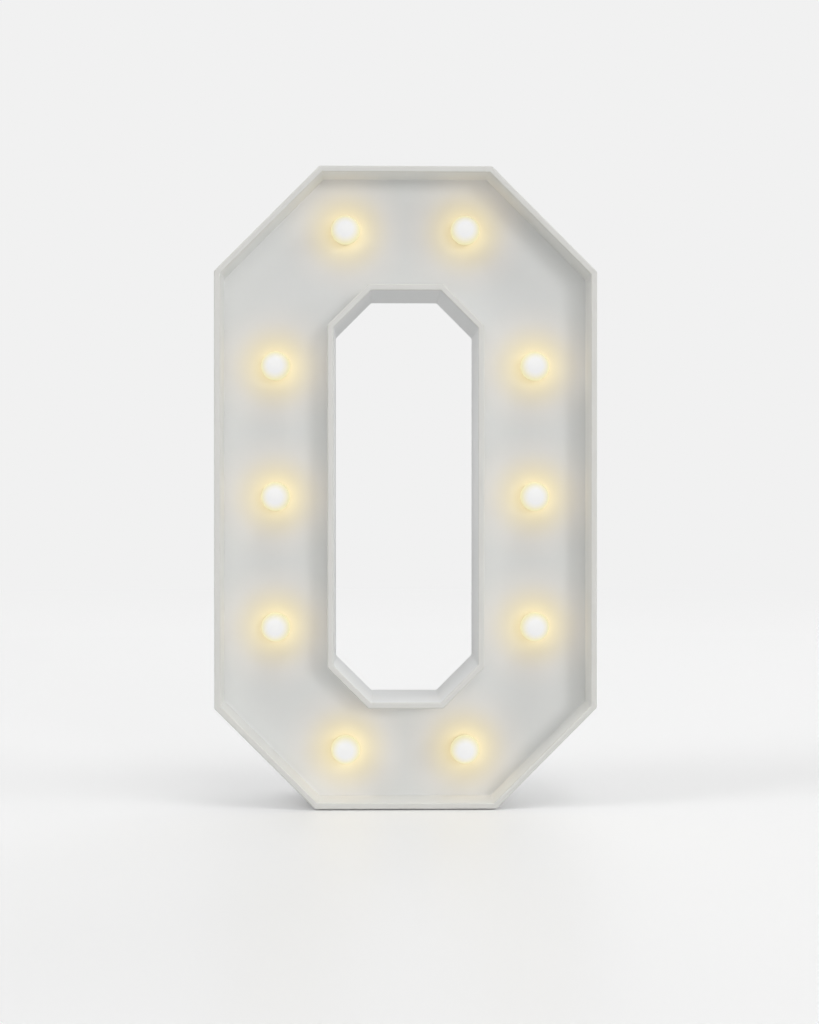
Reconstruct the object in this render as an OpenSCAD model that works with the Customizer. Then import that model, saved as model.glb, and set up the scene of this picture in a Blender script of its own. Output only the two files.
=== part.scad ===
// Light-up marquee number: a zero with a recessed face and ten small bulbs, run from two cells.
// Millimetres. +Z is up, the front looks along -Y, and the origin is the middle of the base.

/* [Number] */
// Width across the flat sides
body_w = 131; // [129:0.5:160]
// Height from the base to the top
body_h = 220; // [212:0.5:260]
// Depth from the front rim to the rear rim
body_d = 45; // [44:0.5:60]
// Cut of the two top corners, along each side
top_cut = 36; // [28:0.5:42]
// Cut of the two bottom corners, along each side
bottom_cut = 34.5; // [26:0.5:40]
// Width of the hole through the middle
hole_w = 49.5; // [36:0.5:51]
// Height of the hole
hole_h = 141; // [130:0.5:148]
// Cut of the hole's four corners, along each side
hole_cut = 12.8; // [8:0.2:18]
// Height of the hole's lower edge above the base
base_band = 36.5; // [32:0.5:42]

/* [Shell] */
// Thickness of the outer wall and of the wall round the hole
wall_t = 2.1; // [1.4:0.1:2.6]
// Depth of the face behind the front rim
face_depth = 17; // [12:0.5:18]
// Thickness of the face
face_t = 2; // [1.4:0.1:3]
// Bevel along both edges of the front rim
rim_bevel = 0.5; // [0.2:0.1:0.7]
// Radius of the posts that take the cover's screws
post_r = 3.5; // [2.6:0.1:4.2]
// Distance of the corner posts from the cut corners' outside
corner_post_inset = 14; // [10:0.5:18]
// Distance of the side posts from the flat sides' outside
side_post_inset = 9; // [7.5:0.5:11]

/* [Bulbs] */
// Radius of a bulb's globe
globe_r = 5; // [4:0.1:6]
// Wall of the globe
globe_wall = 0.8; // [0.5:0.1:1.2]
// Distance of the globe's centre in front of the face
globe_lift = 4.6; // [4:0.1:6]
// Radius of the collar that sits on the face
collar_r = 4.4; // [4:0.1:5.5]
// Thickness of the collar
collar_t = 1; // [0.6:0.1:1.4]
// Wall of the neck that passes through the face
neck_wall = 1; // [0.7:0.1:1.3]
// Length of neck behind the face
neck_tail = 2; // [1.4:0.1:2.8]
// Distance between the rows of bulbs beside the hole
row_pitch = 45.4; // [38:0.2:50]
// Distance of the top and bottom bulbs from the middle
pair_x = 20.8; // [14:0.2:26]
// Distance of the top bulbs below the top
top_bulb_drop = 20.4; // [16:0.2:24]
// Height of the bottom bulbs above the base
bottom_bulb_rise = 18.9; // [15:0.2:22]

/* [Light-emitting diodes] */
// Radius of a diode's body
led_r = 2.5; // [2:0.1:2.8]
// Length of the body in front of its flange
led_l = 7.6; // [6:0.1:8.6]
// Radius of the flange
flange_r = 2.9; // [2.8:0.05:3.2]
// Thickness of the flange
flange_t = 1; // [0.6:0.1:1.2]
// Distance between a diode's two leads
lead_pitch = 2.54; // [2:0.02:3]
// Side of a square lead
lead_t = 0.5; // [0.4:0.05:0.6]
// Wall of the cup that holds the bulb and its diode
cup_wall = 1.1; // [0.8:0.1:1.4]

/* [Back cover] */
// Thickness of the cover
cover_t = 2; // [1.6:0.1:2.6]
// Depth of the cover behind the rear rim
cover_inset = 0.5; // [0.4:0.1:1]
// Gap between the cover and the walls
cover_gap = 0.2; // [0.1:0.05:0.4]
// Extra thickness of the cover under each screw
pad_t = 2; // [1.2:0.1:3]
// Radius of those pads
pad_r = 4.6; // [4:0.1:5]
// Radius of the round end of the keyhole
key_r = 4.25; // [3:0.05:5]
// Width of the keyhole's slot
key_slot = 4.2; // [3:0.1:5]
// Rise from the keyhole's round end to the slot's end
key_rise = 8; // [6:0.5:10]

/* [Battery bay] */
// Diameter of a cell
cell_d = 14.2; // [13.6:0.1:14.5]
// Length of a cell with its button
cell_l = 50.5; // [49:0.1:51]
// Height of the bay's lower end above the base
bay_base = 56; // [54:0.5:62]
// Wall of the bay
bay_wall = 1.5; // [1.2:0.1:1.8]
// Length of a compressed cell spring
spring_l = 5; // [4.5:0.1:6.5]
// Radius of the spring wire
spring_wire_r = 0.3; // [0.2:0.02:0.3]
// Turns of a cell spring
spring_turns = 4; // [3:1:4]
// Thickness of the contact plates
plate_t = 0.4; // [0.3:0.05:0.6]
// Thickness of the battery door
door_t = 1.8; // [1.4:0.1:2]
// Gap round the battery door
door_gap = 0.3; // [0.2:0.05:0.4]
// Radius of the door's pivot pins
pin_r = 1; // [0.8:0.05:1.1]
// Length of the pivot pins
pin_l = 1.8; // [1.4:0.1:2]
// Width of the door's thumb tab
tab_w = 11.4; // [9:0.2:14]

/* [Switch] */
// Height of the switch above the base
switch_z = 146; // [140:0.5:156]
// Travel of the switch from on to off
switch_travel = 3.5; // [2.5:0.1:4]
// Width of the switch's case
can_w = 5.8; // [5.4:0.1:6.4]
// Depth of the switch's case
can_d = 5; // [4.6:0.1:6]
// Width of the knob's stem
stem_w = 3; // [2.4:0.1:3.4]
// Length of the knob's stem along its travel
stem_l = 3.2; // [2.6:0.1:3.6]
// Depth of the finger recess round the knob
recess_d = 2.5; // [2:0.1:3]

/* [Wiring] */
// Radius of a wire with its insulation
wire_r = 0.6; // [0.4:0.05:0.7]

/* [Hidden] */
$fn = 48;
fit_gap = 0.1;          // clearance of pieces that are pushed together
touch_gap = 0.15;       // clearance of soldered and seated pieces
pin_clear = 0.05;       // clearance of the door's pivot pins and of other close fits
overcut = 1;            // how far a cut runs past the surface that it opens

front_y = -body_d / 2;
rear_y = body_d / 2;
face_y = front_y + face_depth;
face_back_y = face_y + face_t;
cover_y = rear_y - cover_inset;
cover_in_y = cover_y - cover_t;
pad_y = cover_in_y - pad_t;

hole_bottom = base_band;
hole_top = base_band + hole_h;
hole_mid = base_band + hole_h / 2;
arm_x = (body_w + hole_w) / 4;

// Eight [x, z] corners of an upright rectangle with 45 degree corner cuts, moved outwards by grow
function octagon(w, z0, z1, low_cut, high_cut, grow) =
    let (x = w / 2 + grow, lo = z0 - grow, hi = z1 + grow)
    let (cut_grow = grow * (2 - sqrt(2)), a = low_cut + cut_grow, b = high_cut + cut_grow)
    [
        [a - x, lo], [x - a, lo], [x, lo + a], [x, hi - b],
        [x - b, hi], [b - x, hi], [-x, hi - b], [-x, lo + a]
    ];
function outer_points(grow = 0) = octagon(body_w, 0, body_h, bottom_cut, top_cut, grow);
function hole_points(grow = 0) = octagon(hole_w, hole_bottom, hole_top, hole_cut, hole_cut, grow);

module outer_outline(grow = 0) { polygon(outer_points(grow)); }
module hole_outline(grow = 0) { polygon(hole_points(grow)); }

// Extrudes an [x, z] outline from depth y0 to depth y1
module slab(y0, y1) { translate([0, y1, 0]) rotate([90, 0, 0]) linear_extrude(y1 - y0) children(); }

// Round bar along Y
module rod(r, y0, y1) { translate([0, y1, 0]) rotate([90, 0, 0]) cylinder(r = r, h = y1 - y0); }

// Round bar along X, from x0 to x1
module axle(r, x0, x1) { translate([x0, 0, 0]) rotate([0, 90, 0]) cylinder(r = r, h = x1 - x0); }

// Box between two corners
module block(low, high) { translate(low) cube(high - low); }

// Box that reaches half_w to both sides of the middle, between two depths and two heights
module bar(half_w, y0, y1, z0, z1) { block([-half_w, y0, z0], [half_w, y1, z1]); }

// Moves children to an [x, z] place
module at(place) { translate([place.x, 0, place.y]) children(); }

// Straight loft between two outlines of as many corners
module loft(a, ya, b, yb) {
    n = len(a);
    polyhedron(
        points = [for (p = a) [p.x, ya, p.y], for (p = b) [p.x, yb, p.y]],
        faces = [
            [for (i = [n - 1 : -1 : 0]) i],
            [for (i = [n : 2 * n - 1]) i],
            for (i = [0 : n - 1]) [i, (i + 1) % n, n + (i + 1) % n, n + i]
        ]
    );
}

// Places of the bulbs, anticlockwise seen from the front, and the way that each one's leads are set apart
function row_z(i) = hole_mid + i * row_pitch;
top_bulb_z = body_h - top_bulb_drop;
bulb_places = [
    [arm_x, row_z(1)], [pair_x, top_bulb_z], [-pair_x, top_bulb_z],
    [-arm_x, row_z(1)], [-arm_x, row_z(0)], [-arm_x, row_z(-1)],
    [-pair_x, bottom_bulb_rise], [pair_x, bottom_bulb_rise],
    [arm_x, row_z(-1)], [arm_x, row_z(0)]
];
bulb_outward = [[1, 0], [0, 1], [0, 1], [-1, 0], [-1, 0], [-1, 0], [0, -1], [0, -1], [1, 0], [1, 0]];
bulb_count = len(bulb_places);

neck_in_r = led_r + fit_gap;
neck_r = neck_in_r + neck_wall;
neck_end_y = face_back_y + neck_tail;
led_back_y = neck_end_y + flange_t;
cup_end_t = 0.8;
cup_end_y = led_back_y + fit_gap + cup_end_t;
cup_r = neck_r + fit_gap + cup_wall;
wire_lift = 0.3;
wire_y = cup_end_y + wire_lift + wire_r;
lead_spare = 0.5;
lead_end_y = wire_y + wire_r + lead_spare;

// Posts of the shell: one in each cut corner and one beside each arm's upper gap between bulbs
function corner_post(cut, z_flat, up) =
    let (step = corner_post_inset * sqrt(0.5))
    [body_w / 2 - cut / 2 - step, z_flat - up * (cut / 2 + step)];
side_post = [body_w / 2 - side_post_inset, row_z(0.5)];
right_posts = [corner_post(top_cut, body_h, 1), side_post, corner_post(bottom_cut, 0, -1)];
post_places = concat(right_posts, [for (p = right_posts) [-p.x, p.y]]);
pilot_r = 1.1;
pilot_depth = 12;

// Front shell: outer wall, wall round the hole, recessed face and screw posts in one moulding
module rim_flare(points_wide, points_true) {
    loft(points_wide, front_y - overcut, points_true, front_y + rim_bevel);
}
module recess_outside() {
    slab(front_y + rim_bevel, face_y) outer_outline(-wall_t);
    rim_flare(outer_points(rim_bevel + overcut - wall_t), outer_points(-wall_t));
}
module recess_inside() {
    slab(front_y + rim_bevel, face_y) hole_outline(wall_t);
    rim_flare(hole_points(wall_t - rim_bevel - overcut), hole_points(wall_t));
}
module front_shell() {
    color("whitesmoke") difference() {
        union() {
            difference() {
                union() {
                    slab(front_y + rim_bevel, rear_y) outer_outline();
                    loft(outer_points(-rim_bevel), front_y, outer_points(), front_y + rim_bevel);
                }
                difference() { recess_outside(); recess_inside(); }
                slab(face_back_y, rear_y + overcut) difference() {
                    outer_outline(-wall_t);
                    hole_outline(wall_t);
                }
                slab(front_y + rim_bevel, rear_y + overcut) hole_outline();
                rim_flare(hole_points(rim_bevel + overcut), hole_points());
            }
            for (p = post_places) at(p) rod(post_r, face_y + face_t / 2, pad_y);
        }
        for (p = bulb_places) at(p) rod(neck_r + fit_gap, face_y - overcut, face_back_y + overcut);
        for (p = post_places) at(p) rod(pilot_r, pad_y - pilot_depth, pad_y + overcut);
    }
}

// Bulb: hollow globe on a collar and a neck that passes through the face
module bulb(place) {
    globe_y = face_y - globe_lift;
    color("lightyellow") at(place) difference() {
        union() {
            translate([0, globe_y, 0]) sphere(globe_r);
            rod(collar_r, face_y - collar_t, face_y);
            rod(neck_r, globe_y, neck_end_y);
        }
        translate([0, globe_y, 0]) sphere(globe_r - globe_wall);
        rod(neck_in_r, globe_y, neck_end_y + overcut);
    }
}

// Diode: flanged body with a round nose, pushed into the neck from behind
module led(place) {
    color("lemonchiffon") at(place) {
        rod(flange_r, neck_end_y, led_back_y);
        rod(led_r, neck_end_y - led_l + led_r, neck_end_y);
        translate([0, neck_end_y - led_l + led_r, 0]) sphere(led_r);
    }
}

module led_leads() {
    half = lead_t / 2;
    color("silver") for (i = [0 : bulb_count - 1], side = [-1, 1])
        at(bulb_places[i] + side * bulb_outward[i] * lead_pitch / 2)
            block([-half, led_back_y, -half], [half, lead_end_y, half]);
}

// Cups behind the face that clip over the necks and trap the diodes
lead_hole_r = lead_t / 2 * sqrt(2) + fit_gap;
module bulb_retainers() {
    color("gainsboro") for (i = [0 : bulb_count - 1]) at(bulb_places[i]) difference() {
        rod(cup_r, face_back_y, cup_end_y);
        rod(neck_r + fit_gap / 2, face_back_y - overcut, led_back_y + fit_gap);
        for (side = [-1, 1])
            at(side * bulb_outward[i] * lead_pitch / 2) rod(lead_hole_r, led_back_y, cup_end_y + overcut);
    }
}

// Screws of the back cover
screw_head_r = 2.5;
screw_head_h = 1.6;
screw_core_r = 1;
screw_l = 10;
screw_clear = 0.4;
counterbore_r = screw_head_r + screw_clear;
head_seat_y = cover_in_y;
cross_l = 3.2;
cross_w = 0.7;
cross_d = 0.9;
module cross_slot(top_y) {
    for (turn = [0, 90]) rotate([0, turn, 0])
        block([-cross_l / 2, top_y - cross_d, -cross_w / 2], [cross_l / 2, top_y + overcut, cross_w / 2]);
}
module cover_screws() {
    color("silver") for (p = post_places) at(p) difference() {
        union() {
            rod(screw_head_r, head_seat_y, head_seat_y + screw_head_h);
            rod(screw_core_r, head_seat_y - screw_l, head_seat_y + screw_head_h / 2);
        }
        cross_slot(head_seat_y + screw_head_h);
    }
}

// Battery bay: two cells side by side along Z, in the +X arm
cell_gap = 0.6;
cell_play = 0.3;
cell_pitch = cell_d + cell_gap;
cell_xs = [arm_x - cell_pitch / 2, arm_x + cell_pitch / 2];
bay_in_w = cell_pitch + cell_d + 2 * cell_play;
bay_out_w = bay_in_w + 2 * bay_wall;
dimple_h = 0.9;
bay_in_l = 2 * plate_t + spring_l + cell_l + dimple_h + touch_gap;
bay_low = bay_base;
bay_high = bay_base + bay_in_l;
door_ledge = 0.5;
ledge_gap = 0.2;
opening_w = bay_in_w + 2 * door_ledge;
opening_high = bay_high + door_ledge;
door_in_y = cover_y - door_t;
cell_y = cover_in_y - cell_play - cell_d / 2;
bay_floor_y = cell_y - cell_d / 2 - cell_play;

// Hinge of the door, below the bay's lower end wall, with a lug of the cover at each end of its barrel
barrel_r = 1.8;
barrel_sink = 0.1;
hinge_reach = barrel_r + barrel_sink;
hinge_y = cover_y - hinge_reach;
hinge_z = bay_low - bay_wall - hinge_reach - door_gap;
opening_low = hinge_z - hinge_reach - door_gap;
barrel_half = opening_w / 2 - door_gap;
pin_end = barrel_half + pin_l;
lug_wall = 0.5;
lug_x = pin_end + lug_wall;
lug_half = 2.6;
lug_depth = 3;

// Thumb tab and latch at the bay's upper end
notch_w = tab_w + 2 * door_gap;
tab_rise = 5;
notch_high = bay_high + bay_wall + tab_rise;
latch_inset = 1.5;
latch_w = tab_w - 2 * latch_inset;
latch_t = 1.1;
latch_drop = 4.5;
nib_h = 1.5;
nib_reach = 0.15;
scoop_r = 7;
scoop_depth = 1;

// Solder tabs of the two upper contacts pass through slots in the bay's end wall
solder_tab_w = 3;
solder_tab_l = 4.5;
solder_tab_rise = 2.2;
solder_tab_y = bay_floor_y + solder_tab_rise;
contact_half_w = 5;
contact_half_h = 5;

module keyhole() {
    key_z = (hole_top + body_h) / 2 - key_rise / 2;
    at([0, key_z]) {
        rod(key_r, cover_in_y - overcut, cover_y + overcut);
        at([0, key_rise]) rod(key_slot / 2, cover_in_y - overcut, cover_y + overcut);
        block([-key_slot / 2, cover_in_y - overcut, 0], [key_slot / 2, cover_y + overcut, key_rise]);
    }
}

module at_arm() { translate([arm_x, 0, 0]) children(); }
module bay_solid() {
    half = bay_out_w / 2;
    root_y = cover_in_y + cover_t / 2;
    at_arm() bar(half, bay_floor_y - bay_wall, root_y, bay_low - bay_wall, bay_high + bay_wall);
    for (side = [0, 1]) at_arm() mirror([side, 0, 0])
        block([opening_w / 2, cover_in_y - lug_depth, hinge_z - lug_half],
              [lug_x, root_y, hinge_z + lug_half]);
}

module bay_cuts() {
    out_y = cover_y + overcut;
    slot_half_t = plate_t / 2 + fit_gap;
    at_arm() {
        bar(bay_in_w / 2, bay_floor_y, out_y, bay_low, bay_high);
        bar(opening_w / 2, cover_in_y, out_y, opening_low, opening_high);
        bar(notch_w / 2, cover_in_y, out_y, bay_high, notch_high);
        translate([0, hinge_y, hinge_z]) axle(pin_r + pin_clear, -lug_x - overcut, lug_x + overcut);
        translate([0, cover_y + scoop_r - scoop_depth, notch_high]) axle(scoop_r, -notch_w / 2, notch_w / 2);
    }
    for (x = cell_xs) translate([x, solder_tab_y, bay_high])
        bar(solder_tab_w / 2 + fit_gap, -slot_half_t, slot_half_t, -overcut, bay_wall + overcut);
}

// Switch: its case hangs behind the floor of a finger recess in the cover
switch_x = arm_x;
recess_floor_t = 1.2;
recess_half_w = 4.5;
recess_floor_y = cover_y - recess_d;
switch_seat_y = recess_floor_y - recess_floor_t;
slot_gap = 0.3;
slot_half_w = stem_w / 2 + slot_gap;
slot_half_l = (stem_l + switch_travel) / 2 + slot_gap;
recess_margin = 1.8;
recess_half_l = slot_half_l + recess_margin;
frame_t = 0.6;
can_wall = 0.4;
can_margin = 1.6;
can_half_l = slot_half_l + can_margin;
ear_hole_r = 1.1;
ear_margin = 2.2;
ear_hole_z = can_half_l + ear_margin;
ear_end = ear_hole_z + ear_margin;
block_margin = 1.5;
frame_y = switch_seat_y - frame_t;
can_back_y = frame_y - can_d;
switch_pilot_r = 0.8;
mark_h = 0.3;
mark_gap = 3;

module at_switch() { translate([switch_x, 0, switch_z]) children(); }
module switch_block() {
    half_l = ear_end + block_margin / 2;
    at_switch() bar(recess_half_w + block_margin, switch_seat_y, cover_in_y + cover_t / 2, -half_l, half_l);
}

module switch_cuts() {
    at_switch() {
        bar(recess_half_w, recess_floor_y, cover_y + overcut, -recess_half_l, recess_half_l);
        bar(slot_half_w, switch_seat_y - overcut, cover_y, -slot_half_l, slot_half_l);
        for (side = [-1, 1])
            at([0, side * ear_hole_z]) rod(switch_pilot_r, switch_seat_y - overcut, cover_in_y + cover_t / 2);
    }
}

// Raised bar for on and raised ring for off, beyond the ends of the finger recess
module switch_marks() {
    bar_half = 0.4;
    ring_r = 1.6;
    ring_wall = 0.7;
    low_y = cover_y - cover_t / 2;
    at_switch() {
        at([0, recess_half_l + mark_gap]) bar(bar_half, low_y, cover_y + mark_h, -ring_r, ring_r);
        at([0, -recess_half_l - mark_gap]) difference() {
            rod(ring_r, low_y, cover_y + mark_h);
            rod(ring_r - ring_wall, cover_y, cover_y + mark_h + overcut);
        }
    }
}

// Back cover: plate with the battery bay, screw pads and switch recess in one moulding
module back_cover() {
    color("whitesmoke") {
        difference() {
            union() {
                slab(cover_in_y, cover_y) difference() {
                    outer_outline(-wall_t - cover_gap);
                    hole_outline(wall_t + cover_gap);
                }
                for (p = post_places) at(p) rod(pad_r, pad_y, cover_in_y + cover_t / 2);
                bay_solid();
                switch_block();
                switch_marks();
            }
            for (p = post_places) at(p) {
                rod(screw_core_r + screw_clear, pad_y - overcut, cover_y);
                rod(counterbore_r, head_seat_y, cover_y + overcut);
            }
            keyhole();
            bay_cuts();
            switch_cuts();
        }
    }
}

// Battery door: plate on a barrel with two pins, with a thumb tab, a latch finger and grip ridges
ridge_count = 5;
ridge_pitch = 2.4;
ridge_w = 1;
ridge_h = 0.3;
module battery_door() {
    door_half = opening_w / 2 - door_gap;
    door_high = opening_high - door_gap;
    tab_high = notch_high - door_gap;
    finger_high = tab_high - nib_reach;
    nib_y = cover_in_y - ledge_gap;
    door_mid_y = door_in_y + door_t / 2;
    color("whitesmoke") at_arm() {
        bar(door_half, door_in_y, cover_y, hinge_z, door_high);
        bar(tab_w / 2, door_in_y, cover_y, door_high - overcut, tab_high);
        translate([0, hinge_y, hinge_z]) {
            axle(barrel_r, -barrel_half, barrel_half);
            axle(pin_r, -pin_end, pin_end);
        }
        bar(latch_w / 2, cover_in_y - latch_drop, door_mid_y, finger_high - latch_t, finger_high);
        bar(latch_w / 2, nib_y - nib_h, nib_y, finger_high - latch_t, tab_high + nib_reach);
        for (i = [1 : ridge_count]) translate([0, 0, door_high - i * ridge_pitch])
            bar(tab_w / 2, door_mid_y, cover_y + ridge_h, 0, ridge_w);
    }
}

// Cell standing along Z: its button points up for way = 1 and down for way = -1
button_r = 2.7;
button_h = 1;
module battery(x, way) {
    positive_end = bay_low + bay_in_l / 2 + way * (bay_in_l / 2 - plate_t - dimple_h - touch_gap);
    color("steelblue") translate([x, cell_y, positive_end]) mirror([0, 0, way > 0 ? 1 : 0]) {
        cylinder(r = button_r, h = button_h + overcut);
        translate([0, 0, button_h]) cylinder(r = cell_d / 2, h = cell_l - button_h);
    }
}

// Contact plates: half a bay wide at the top, across both cells at the bottom
dimple_r = 2.2;
module contact_plate(x0, x1, wall_z, inward) {
    z_far = wall_z + inward * plate_t;
    block([x0, cell_y - contact_half_h, min(wall_z, z_far)],
          [x1, cell_y + contact_half_h, max(wall_z, z_far)]);
}
module contact_dimple(x, wall_z, inward) {
    translate([x, cell_y, wall_z + (inward > 0 ? 0 : -plate_t - dimple_h)])
        cylinder(r = dimple_r, h = plate_t + dimple_h);
}
module solder_tab(x) {
    half_t = plate_t / 2;
    translate([x, solder_tab_y, bay_high]) {
        bar(solder_tab_w / 2, -half_t, half_t, -plate_t, bay_wall + solder_tab_l);
        bar(solder_tab_w / 2, -half_t, cell_y - solder_tab_y, -plate_t, 0);
    }
}
module link_contact() {
    color("silver") {
        contact_plate(cell_xs[0] - contact_half_w, cell_xs[1] + contact_half_w, bay_low, 1);
        contact_dimple(cell_xs[1], bay_low, 1);
    }
}
module positive_contact() {
    color("silver") {
        contact_plate(cell_xs[0] - contact_half_w, cell_xs[0] + contact_half_w, bay_high, -1);
        contact_dimple(cell_xs[0], bay_high, -1);
        solder_tab(cell_xs[0]);
    }
}
module negative_contact() {
    color("silver") {
        contact_plate(cell_xs[1] - contact_half_w, cell_xs[1] + contact_half_w, bay_high, -1);
        solder_tab(cell_xs[1]);
    }
}

// Tube swept along points, with its ring carried from point to point without twist
function unit(v) = v / norm(v);
function heading(p, i) =
    i == 0 ? unit(p[1] - p[0])
    : i == len(p) - 1 ? unit(p[i] - p[i - 1])
    : unit(unit(p[i] - p[i - 1]) + unit(p[i + 1] - p[i]));
function square_to(t) = unit(cross(t, abs(t.z) < 0.9 ? [0, 0, 1] : [0, 1, 0]));
function carried(p, i) =
    i == 0 ? square_to(heading(p, 0))
    : let (n = carried(p, i - 1), t = heading(p, i)) unit(n - t * (n * t));
module tube(p, r, sides) {
    last = len(p) - 1;
    rings = [for (i = [0 : last]) let (n = carried(p, i), b = cross(heading(p, i), n))
        for (k = [0 : sides - 1]) p[i] + r * (cos(360 * k / sides) * n + sin(360 * k / sides) * b)];
    polyhedron(
        points = concat(rings, [p[0], p[last]]),
        faces = [
            for (i = [0 : last - 1], k = [0 : sides - 1]) let (a = i * sides, q = (k + 1) % sides)
                each [[a + k, a + sides + q, a + q], [a + k, a + sides + k, a + sides + q]],
            for (k = [0 : sides - 1]) let (q = (k + 1) % sides, z = last * sides)
                each [[len(rings), k, q], [len(rings) + 1, z + q, z + k]]
        ]
    );
}

// Conical cell spring from its contact plate to the flat end of a cell
spring_wide_r = 4;
spring_narrow_r = 2.2;
rings_per_turn = 8;
spring_sides = 6;
spring_end_gap = spring_wire_r + pin_clear;
spring_points = [for (i = [0 : spring_turns * rings_per_turn])
    let (s = i / (spring_turns * rings_per_turn), a = 360 * i / rings_per_turn)
    let (r = spring_wide_r + s * (spring_narrow_r - spring_wide_r))
    [r * cos(a), r * sin(a), spring_end_gap + s * (spring_l - 2 * spring_end_gap)]];
spring_self_gap = min([for (i = [0 : len(spring_points) - 1], j = [i : len(spring_points) - 1])
    if (j - i >= rings_per_turn / 2) norm(spring_points[j] - spring_points[i])]) - 2 * spring_wire_r;
echo(least_gap_between_spring_turns = spring_self_gap);
module cell_spring(x, wall_z, inward) {
    color("silver") translate([x, cell_y, wall_z + inward * plate_t]) mirror([0, 0, inward > 0 ? 0 : 1])
        tube(spring_points, spring_wire_r, spring_sides);
}

// Switch pieces: a steel case with two ears, a board with three blades, and the knob
stem_base_margin = 1;
stem_base_half_l = stem_l / 2 + stem_base_margin;
blade_pitch = 3;
blade_half_w = 0.75;
blade_t = 0.4;
blade_l = 3;
board_t = 1;
rivet_h = 0.4;
blade_top_y = can_back_y + board_t + rivet_h;
module switch_case() {
    can_in_half_l = can_half_l - can_wall;
    color("silver") at_switch() difference() {
        union() {
            bar(can_w / 2, frame_y, switch_seat_y, -ear_end, ear_end);
            bar(can_w / 2, can_back_y, switch_seat_y - frame_t / 2, -can_half_l, can_half_l);
        }
        bar(can_w / 2 - can_wall, can_back_y - overcut, frame_y, -can_in_half_l, can_in_half_l);
        bar(slot_half_w, can_back_y, switch_seat_y + overcut, -slot_half_l, slot_half_l);
        for (side = [-1, 1])
            at([0, side * ear_hole_z]) rod(ear_hole_r, frame_y - overcut, switch_seat_y + overcut);
    }
}
module switch_board() {
    half_w = can_w / 2 - can_wall - fit_gap;
    half_l = can_half_l - can_wall - fit_gap;
    slot_half_t = blade_t / 2 + fit_gap;
    color("saddlebrown") at_switch() difference() {
        bar(half_w, can_back_y, can_back_y + board_t, -half_l, half_l);
        for (i = [-1 : 1]) at([0, i * blade_pitch])
            bar(blade_half_w + fit_gap, can_back_y - overcut, blade_top_y, -slot_half_t, slot_half_t);
    }
}
module switch_blades() {
    color("gold") at_switch() for (i = [-1 : 1]) at([0, i * blade_pitch])
        bar(blade_half_w, can_back_y - blade_l, blade_top_y, -blade_t / 2, blade_t / 2);
}
knob_ridges = 3;
knob_sink = 0.4;
module switch_knob() {
    on_z = switch_travel / 2;
    base_half_w = can_w / 2 - can_wall - slot_gap;
    base_low_y = blade_top_y + slot_gap;
    knob_top_y = cover_y - knob_sink;
    ridge = stem_l / (2 * knob_ridges - 1);
    color("dimgray") at_switch() translate([0, 0, on_z]) {
        bar(base_half_w, base_low_y, frame_y - slot_gap, -stem_base_half_l, stem_base_half_l);
        bar(stem_w / 2, base_low_y, knob_top_y - ridge, -stem_l / 2, stem_l / 2);
        for (i = [0 : knob_ridges - 1]) at([0, 2 * i * ridge - stem_l / 2])
            bar(stem_w / 2, knob_top_y - 2 * ridge, knob_top_y, 0, ridge);
    }
}
module switch_screws() {
    head_r = 1.9;
    head_h = 1.2;
    cross_share = 0.7;
    color("silver") at_switch() for (side = [-1, 1]) at([0, side * ear_hole_z]) difference() {
        union() {
            rod(head_r, frame_y - head_h, frame_y);
            rod(switch_pilot_r - pin_clear, frame_y - head_h / 2, cover_in_y);
        }
        mirror([0, 1, 0]) scale(cross_share) cross_slot((head_h - frame_y) / cross_share);
    }
}

// Resistor on the switch's upper blade, lying across the arm
resistor_r = 1.15;
resistor_l = 6.3;
tail_l = 3;
tail_r = 0.25;
blade_tip = 0.9;
resistor_y = can_back_y - blade_l + blade_tip;
resistor_z = switch_z + blade_pitch + blade_t / 2 + tail_r + pin_clear;
resistor_start = switch_x - blade_half_w;
resistor_body = switch_x + tail_l;
resistor_end = resistor_body + resistor_l + tail_l;
module resistor() {
    color("tan") translate([0, resistor_y, resistor_z]) {
        axle(tail_r, resistor_start, resistor_end);
        axle(resistor_r, resistor_body, resistor_body + resistor_l);
    }
}

// Wires: one runs outside the leads of every diode in turn, one inside, and one joins cell and switch
wire_sides = 8;
track_off = lead_pitch / 2 + lead_t / 2 + touch_gap + wire_r;
lead_run = 1.5;
function track(i, side) =
    let (p = bulb_places[i] + side * track_off * bulb_outward[i]) [p.x, wire_y, p.y];
function along(i, side, run) =
    let (o = bulb_outward[i]) track(i, side) + run * [-o.y, 0, o.x];
tab_wire_gap = plate_t / 2 + touch_gap + wire_r;
wire_step = 1;          // short step, where a wire turns out of a joint
wire_bend = 3;          // longer step, where it turns into a run
wire_reach = 5;         // free length in front of a run
wire_rise = 8;          // free length of the switch's wire above the cell's tab
tab_low = bay_high + bay_wall + wire_step;
tab_high = bay_high + bay_wall + solder_tab_l;
last_bulb = bulb_count - 1;
outer_track = [for (i = [0 : last_bulb], run = [-lead_run, lead_run]) along(i, 1, run)];
inner_track = [for (i = [last_bulb : -1 : 0], run = [lead_run, -lead_run]) along(i, -1, run)];
positive_route = concat(
    [
        [resistor_end + touch_gap, resistor_y, resistor_z],
        [resistor_end + wire_step, resistor_y, resistor_z],
        [resistor_end + 2 * wire_step, (resistor_y + wire_y) / 2, resistor_z - 2 * wire_step],
        [resistor_end - wire_step, wire_y + wire_r, resistor_z - wire_step - wire_bend],
        [outer_track[0].x + wire_bend, wire_y, outer_track[0].z - wire_reach]
    ],
    outer_track);
negative_route = concat(
    [
        [cell_xs[1], solder_tab_y - tab_wire_gap, tab_high],
        [cell_xs[1], solder_tab_y - tab_wire_gap, tab_low + wire_step],
        [cell_xs[1] - wire_step, wire_y + wire_step, tab_low],
        [cell_xs[1] - wire_step - wire_bend, wire_y, tab_low - wire_step],
        [inner_track[0].x, wire_y, inner_track[0].z + wire_bend]
    ],
    inner_track);
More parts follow.
